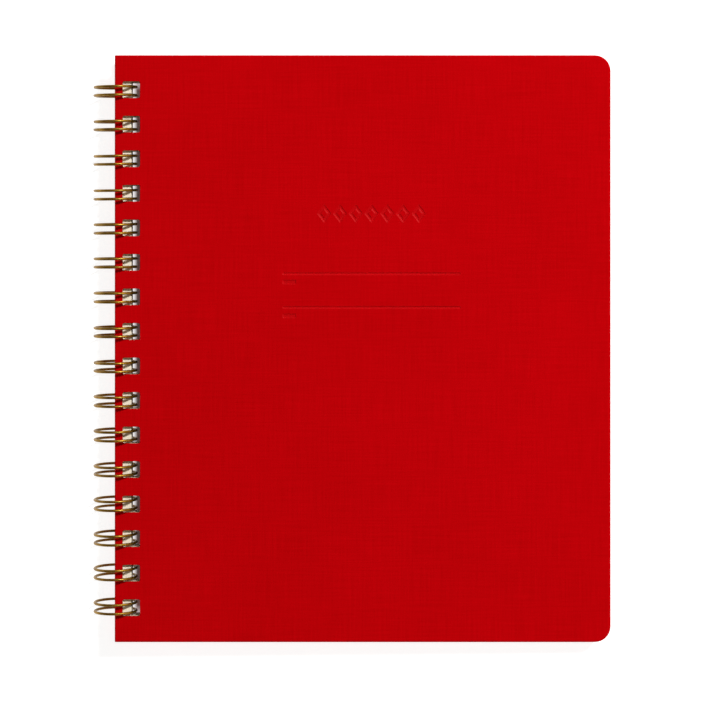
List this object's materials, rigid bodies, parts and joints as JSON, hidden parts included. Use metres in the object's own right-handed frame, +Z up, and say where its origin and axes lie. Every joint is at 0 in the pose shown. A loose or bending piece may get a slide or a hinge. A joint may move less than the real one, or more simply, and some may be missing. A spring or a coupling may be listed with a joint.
{
  "type": "wire-bound hardcover planner",
  "caption": "Hardcover planner in red cloth, bound down its left side with gold twin-loop wire, with turning pages and covers.",
  "frame": {"origin": "under the middle of the closed book's overall box, on the level of the wire's lowest point", "axes": "+X from the bound spine to the fore-edge, +Y from the tail to the head, +Z up out of the front cover"},
  "size_m": [0.1906, 0.216, 0.0163],
  "materials": {
    "cover_cloth": "matte",
    "cover_board": "matte",
    "endpaper": "matte",
    "page_paper": "matte",
    "gold_wire": "satin"
  },
  "bodies": {
    "back_cover_and_wire": {"back_cover_board": "cover_board", "back_cover_cloth": "cover_cloth", "back_cover_endpaper": "endpaper", "twin_loop_wire": "gold_wire"},
    "leaf_53": {"leaf_53": "page_paper"},
    "leaf_52": {"leaf_52": "page_paper"},
    "leaf_51": {"leaf_51": "page_paper"},
    "leaf_50": {"leaf_50": "page_paper"},
    "leaf_49": {"leaf_49": "page_paper"},
    "leaf_48": {"leaf_48": "page_paper"},
    "leaf_47": {"leaf_47": "page_paper"},
    "leaf_46": {"leaf_46": "page_paper"},
    "leaf_45": {"leaf_45": "page_paper"},
    "leaf_44": {"leaf_44": "page_paper"},
    "leaf_43": {"leaf_43": "page_paper"},
    "leaf_42": {"leaf_42": "page_paper"},
    "leaf_41": {"leaf_41": "page_paper"},
    "leaf_40": {"leaf_40": "page_paper"},
    "leaf_39": {"leaf_39": "page_paper"},
    "leaf_38": {"leaf_38": "page_paper"},
    "leaf_37": {"leaf_37": "page_paper"},
    "leaf_36": {"leaf_36": "page_paper"},
    "leaf_35": {"leaf_35": "page_paper"},
    "leaf_34": {"leaf_34": "page_paper"},
    "leaf_33": {"leaf_33": "page_paper"},
    "leaf_32": {"leaf_32": "page_paper"},
    "leaf_31": {"leaf_31": "page_paper"},
    "leaf_30": {"leaf_30": "page_paper"},
    "leaf_29": {"leaf_29": "page_paper"},
    "leaf_28": {"leaf_28": "page_paper"},
    "leaf_27": {"leaf_27": "page_paper"},
    "leaf_26": {"leaf_26": "page_paper"},
    "leaf_25": {"leaf_25": "page_paper"},
    "leaf_24": {"leaf_24": "page_paper"},
    "leaf_23": {"leaf_23": "page_paper"},
    "leaf_22": {"leaf_22": "page_paper"},
    "leaf_21": {"leaf_21": "page_paper"},
    "leaf_20": {"leaf_20": "page_paper"},
    "leaf_19": {"leaf_19": "page_paper"},
    "leaf_18": {"leaf_18": "page_paper"},
    "leaf_17": {"leaf_17": "page_paper"},
    "leaf_16": {"leaf_16": "page_paper"},
    "leaf_15": {"leaf_15": "page_paper"},
    "leaf_14": {"leaf_14": "page_paper"},
    "leaf_13": {"leaf_13": "page_paper"},
    "leaf_12": {"leaf_12": "page_paper"},
    "leaf_11": {"leaf_11": "page_paper"},
    "leaf_10": {"leaf_10": "page_paper"},
    "leaf_09": {"leaf_09": "page_paper"},
    "leaf_08": {"leaf_08": "page_paper"},
    "leaf_07": {"leaf_07": "page_paper"},
    "leaf_06": {"leaf_06": "page_paper"},
    "leaf_05": {"leaf_05": "page_paper"},
    "leaf_04": {"leaf_04": "page_paper"},
    "leaf_03": {"leaf_03": "page_paper"},
    "leaf_02": {"leaf_02": "page_paper"},
    "leaf_01": {"leaf_01": "page_paper"},
    "front_cover": {"front_cover_board": "cover_board", "front_cover_cloth": "cover_cloth", "front_cover_endpaper": "endpaper"}
  },
  "joints": [
    {"name": "front_cover_turn", "type": "hinge", "parent": "leaf_01", "child": "front_cover", "pos_m": [-0.0872, 0, 0.00815], "axis": [0, -1, 0], "range_deg": [0, 180]},
    {"name": "leaf_01_turn", "type": "hinge", "parent": "leaf_02", "child": "leaf_01", "pos_m": [-0.0872, 0, 0.00815], "axis": [0, -1, 0], "range_deg": [0, 180]},
    {"name": "leaf_02_turn", "type": "hinge", "parent": "leaf_03", "child": "leaf_02", "pos_m": [-0.0872, 0, 0.00815], "axis": [0, -1, 0], "range_deg": [0, 180]},
    {"name": "leaf_03_turn", "type": "hinge", "parent": "leaf_04", "child": "leaf_03", "pos_m": [-0.0872, 0, 0.00815], "axis": [0, -1, 0], "range_deg": [0, 180]},
    {"name": "leaf_04_turn", "type": "hinge", "parent": "leaf_05", "child": "leaf_04", "pos_m": [-0.0872, 0, 0.00815], "axis": [0, -1, 0], "range_deg": [0, 180]},
    {"name": "leaf_05_turn", "type": "hinge", "parent": "leaf_06", "child": "leaf_05", "pos_m": [-0.0872, 0, 0.00815], "axis": [0, -1, 0], "range_deg": [0, 180]},
    {"name": "leaf_06_turn", "type": "hinge", "parent": "leaf_07", "child": "leaf_06", "pos_m": [-0.0872, 0, 0.00815], "axis": [0, -1, 0], "range_deg": [0, 180]},
    {"name": "leaf_07_turn", "type": "hinge", "parent": "leaf_08", "child": "leaf_07", "pos_m": [-0.0872, 0, 0.00815], "axis": [0, -1, 0], "range_deg": [0, 180]},
    {"name": "leaf_08_turn", "type": "hinge", "parent": "leaf_09", "child": "leaf_08", "pos_m": [-0.0872, 0, 0.00815], "axis": [0, -1, 0], "range_deg": [0, 180]},
    {"name": "leaf_09_turn", "type": "hinge", "parent": "leaf_10", "child": "leaf_09", "pos_m": [-0.0872, 0, 0.00815], "axis": [0, -1, 0], "range_deg": [0, 180]},
    {"name": "leaf_10_turn", "type": "hinge", "parent": "leaf_11", "child": "leaf_10", "pos_m": [-0.0872, 0, 0.00815], "axis": [0, -1, 0], "range_deg": [0, 180]},
    {"name": "leaf_11_turn", "type": "hinge", "parent": "leaf_12", "child": "leaf_11", "pos_m": [-0.0872, 0, 0.00815], "axis": [0, -1, 0], "range_deg": [0, 180]},
    {"name": "leaf_12_turn", "type": "hinge", "parent": "leaf_13", "child": "leaf_12", "pos_m": [-0.0872, 0, 0.00815], "axis": [0, -1, 0], "range_deg": [0, 180]},
    {"name": "leaf_13_turn", "type": "hinge", "parent": "leaf_14", "child": "leaf_13", "pos_m": [-0.0872, 0, 0.00815], "axis": [0, -1, 0], "range_deg": [0, 180]},
    {"name": "leaf_14_turn", "type": "hinge", "parent": "leaf_15", "child": "leaf_14", "pos_m": [-0.0872, 0, 0.00815], "axis": [0, -1, 0], "range_deg": [0, 180]},
    {"name": "leaf_15_turn", "type": "hinge", "parent": "leaf_16", "child": "leaf_15", "pos_m": [-0.0872, 0, 0.00815], "axis": [0, -1, 0], "range_deg": [0, 180]},
    {"name": "leaf_16_turn", "type": "hinge", "parent": "leaf_17", "child": "leaf_16", "pos_m": [-0.0872, 0, 0.00815], "axis": [0, -1, 0], "range_deg": [0, 180]},
    {"name": "leaf_17_turn", "type": "hinge", "parent": "leaf_18", "child": "leaf_17", "pos_m": [-0.0872, 0, 0.00815], "axis": [0, -1, 0], "range_deg": [0, 180]},
    {"name": "leaf_18_turn", "type": "hinge", "parent": "leaf_19", "child": "leaf_18", "pos_m": [-0.0872, 0, 0.00815], "axis": [0, -1, 0], "range_deg": [0, 180]},
    {"name": "leaf_19_turn", "type": "hinge", "parent": "leaf_20", "child": "leaf_19", "pos_m": [-0.0872, 0, 0.00815], "axis": [0, -1, 0], "range_deg": [0, 180]},
    {"name": "leaf_20_turn", "type": "hinge", "parent": "leaf_21", "child": "leaf_20", "pos_m": [-0.0872, 0, 0.00815], "axis": [0, -1, 0], "range_deg": [0, 180]},
    {"name": "leaf_21_turn", "type": "hinge", "parent": "leaf_22", "child": "leaf_21", "pos_m": [-0.0872, 0, 0.00815], "axis": [0, -1, 0], "range_deg": [0, 180]},
    {"name": "leaf_22_turn", "type": "hinge", "parent": "leaf_23", "child": "leaf_22", "pos_m": [-0.0872, 0, 0.00815], "axis": [0, -1, 0], "range_deg": [0, 180]},
    {"name": "leaf_23_turn", "type": "hinge", "parent": "leaf_24", "child": "leaf_23", "pos_m": [-0.0872, 0, 0.00815], "axis": [0, -1, 0], "range_deg": [0, 180]},
    {"name": "leaf_24_turn", "type": "hinge", "parent": "leaf_25", "child": "leaf_24", "pos_m": [-0.0872, 0, 0.00815], "axis": [0, -1, 0], "range_deg": [0, 180]},
    {"name": "leaf_25_turn", "type": "hinge", "parent": "leaf_26", "child": "leaf_25", "pos_m": [-0.0872, 0, 0.00815], "axis": [0, -1, 0], "range_deg": [0, 180]},
    {"name": "leaf_26_turn", "type": "hinge", "parent": "leaf_27", "child": "leaf_26", "pos_m": [-0.0872, 0, 0.00815], "axis": [0, -1, 0], "range_deg": [0, 180]},
    {"name": "leaf_27_turn", "type": "hinge", "parent": "leaf_28", "child": "leaf_27", "pos_m": [-0.0872, 0, 0.00815], "axis": [0, -1, 0], "range_deg": [0, 180]},
    {"name": "leaf_28_turn", "type": "hinge", "parent": "leaf_29", "child": "leaf_28", "pos_m": [-0.0872, 0, 0.00815], "axis": [0, -1, 0], "range_deg": [0, 180]},
    {"name": "leaf_29_turn", "type": "hinge", "parent": "leaf_30", "child": "leaf_29", "pos_m": [-0.0872, 0, 0.00815], "axis": [0, -1, 0], "range_deg": [0, 180]},
    {"name": "leaf_30_turn", "type": "hinge", "parent": "leaf_31", "child": "leaf_30", "pos_m": [-0.0872, 0, 0.00815], "axis": [0, -1, 0], "range_deg": [0, 180]},
    {"name": "leaf_31_turn", "type": "hinge", "parent": "leaf_32", "child": "leaf_31", "pos_m": [-0.0872, 0, 0.00815], "axis": [0, -1, 0], "range_deg": [0, 180]},
    {"name": "leaf_32_turn", "type": "hinge", "parent": "leaf_33", "child": "leaf_32", "pos_m": [-0.0872, 0, 0.00815], "axis": [0, -1, 0], "range_deg": [0, 180]},
    {"name": "leaf_33_turn", "type": "hinge", "parent": "leaf_34", "child": "leaf_33", "pos_m": [-0.0872, 0, 0.00815], "axis": [0, -1, 0], "range_deg": [0, 180]},
    {"name": "leaf_34_turn", "type": "hinge", "parent": "leaf_35", "child": "leaf_34", "pos_m": [-0.0872, 0, 0.00815], "axis": [0, -1, 0], "range_deg": [0, 180]},
    {"name": "leaf_35_turn", "type": "hinge", "parent": "leaf_36", "child": "leaf_35", "pos_m": [-0.0872, 0, 0.00815], "axis": [0, -1, 0], "range_deg": [0, 180]},
    {"name": "leaf_36_turn", "type": "hinge", "parent": "leaf_37", "child": "leaf_36", "pos_m": [-0.0872, 0, 0.00815], "axis": [0, -1, 0], "range_deg": [0, 180]},
    {"name": "leaf_37_turn", "type": "hinge", "parent": "leaf_38", "child": "leaf_37", "pos_m": [-0.0872, 0, 0.00815], "axis": [0, -1, 0], "range_deg": [0, 180]},
    {"name": "leaf_38_turn", "type": "hinge", "parent": "leaf_39", "child": "leaf_38", "pos_m": [-0.0872, 0, 0.00815], "axis": [0, -1, 0], "range_deg": [0, 180]},
    {"name": "leaf_39_turn", "type": "hinge", "parent": "leaf_40", "child": "leaf_39", "pos_m": [-0.0872, 0, 0.00815], "axis": [0, -1, 0], "range_deg": [0, 180]},
    {"name": "leaf_40_turn", "type": "hinge", "parent": "leaf_41", "child": "leaf_40", "pos_m": [-0.0872, 0, 0.00815], "axis": [0, -1, 0], "range_deg": [0, 180]},
    {"name": "leaf_41_turn", "type": "hinge", "parent": "leaf_42", "child": "leaf_41", "pos_m": [-0.0872, 0, 0.00815], "axis": [0, -1, 0], "range_deg": [0, 180]},
    {"name": "leaf_42_turn", "type": "hinge", "parent": "leaf_43", "child": "leaf_42", "pos_m": [-0.0872, 0, 0.00815], "axis": [0, -1, 0], "range_deg": [0, 180]},
    {"name": "leaf_43_turn", "type": "hinge", "parent": "leaf_44", "child": "leaf_43", "pos_m": [-0.0872, 0, 0.00815], "axis": [0, -1, 0], "range_deg": [0, 180]},
    {"name": "leaf_44_turn", "type": "hinge", "parent": "leaf_45", "child": "leaf_44", "pos_m": [-0.0872, 0, 0.00815], "axis": [0, -1, 0], "range_deg": [0, 180]},
    {"name": "leaf_45_turn", "type": "hinge", "parent": "leaf_46", "child": "leaf_45", "pos_m": [-0.0872, 0, 0.00815], "axis": [0, -1, 0], "range_deg": [0, 180]},
    {"name": "leaf_46_turn", "type": "hinge", "parent": "leaf_47", "child": "leaf_46", "pos_m": [-0.0872, 0, 0.00815], "axis": [0, -1, 0], "range_deg": [0, 180]},
    {"name": "leaf_47_turn", "type": "hinge", "parent": "leaf_48", "child": "leaf_47", "pos_m": [-0.0872, 0, 0.00815], "axis": [0, -1, 0], "range_deg": [0, 180]},
    {"name": "leaf_48_turn", "type": "hinge", "parent": "leaf_49", "child": "leaf_48", "pos_m": [-0.0872, 0, 0.00815], "axis": [0, -1, 0], "range_deg": [0, 180]},
    {"name": "leaf_49_turn", "type": "hinge", "parent": "leaf_50", "child": "leaf_49", "pos_m": [-0.0872, 0, 0.00815], "axis": [0, -1, 0], "range_deg": [0, 180]},
    {"name": "leaf_50_turn", "type": "hinge", "parent": "leaf_51", "child": "leaf_50", "pos_m": [-0.0872, 0, 0.00815], "axis": [0, -1, 0], "range_deg": [0, 180]},
    {"name": "leaf_51_turn", "type": "hinge", "parent": "leaf_52", "child": "leaf_51", "pos_m": [-0.0872, 0, 0.00815], "axis": [0, -1, 0], "range_deg": [0, 180]},
    {"name": "leaf_52_turn", "type": "hinge", "parent": "leaf_53", "child": "leaf_52", "pos_m": [-0.0872, 0, 0.00815], "axis": [0, -1, 0], "range_deg": [0, 180]},
    {"name": "leaf_53_turn", "type": "hinge", "parent": "back_cover_and_wire", "child": "leaf_53", "pos_m": [-0.0872, 0, 0.00815], "axis": [0, -1, 0], "range_deg": [0, 180]}
  ]
}
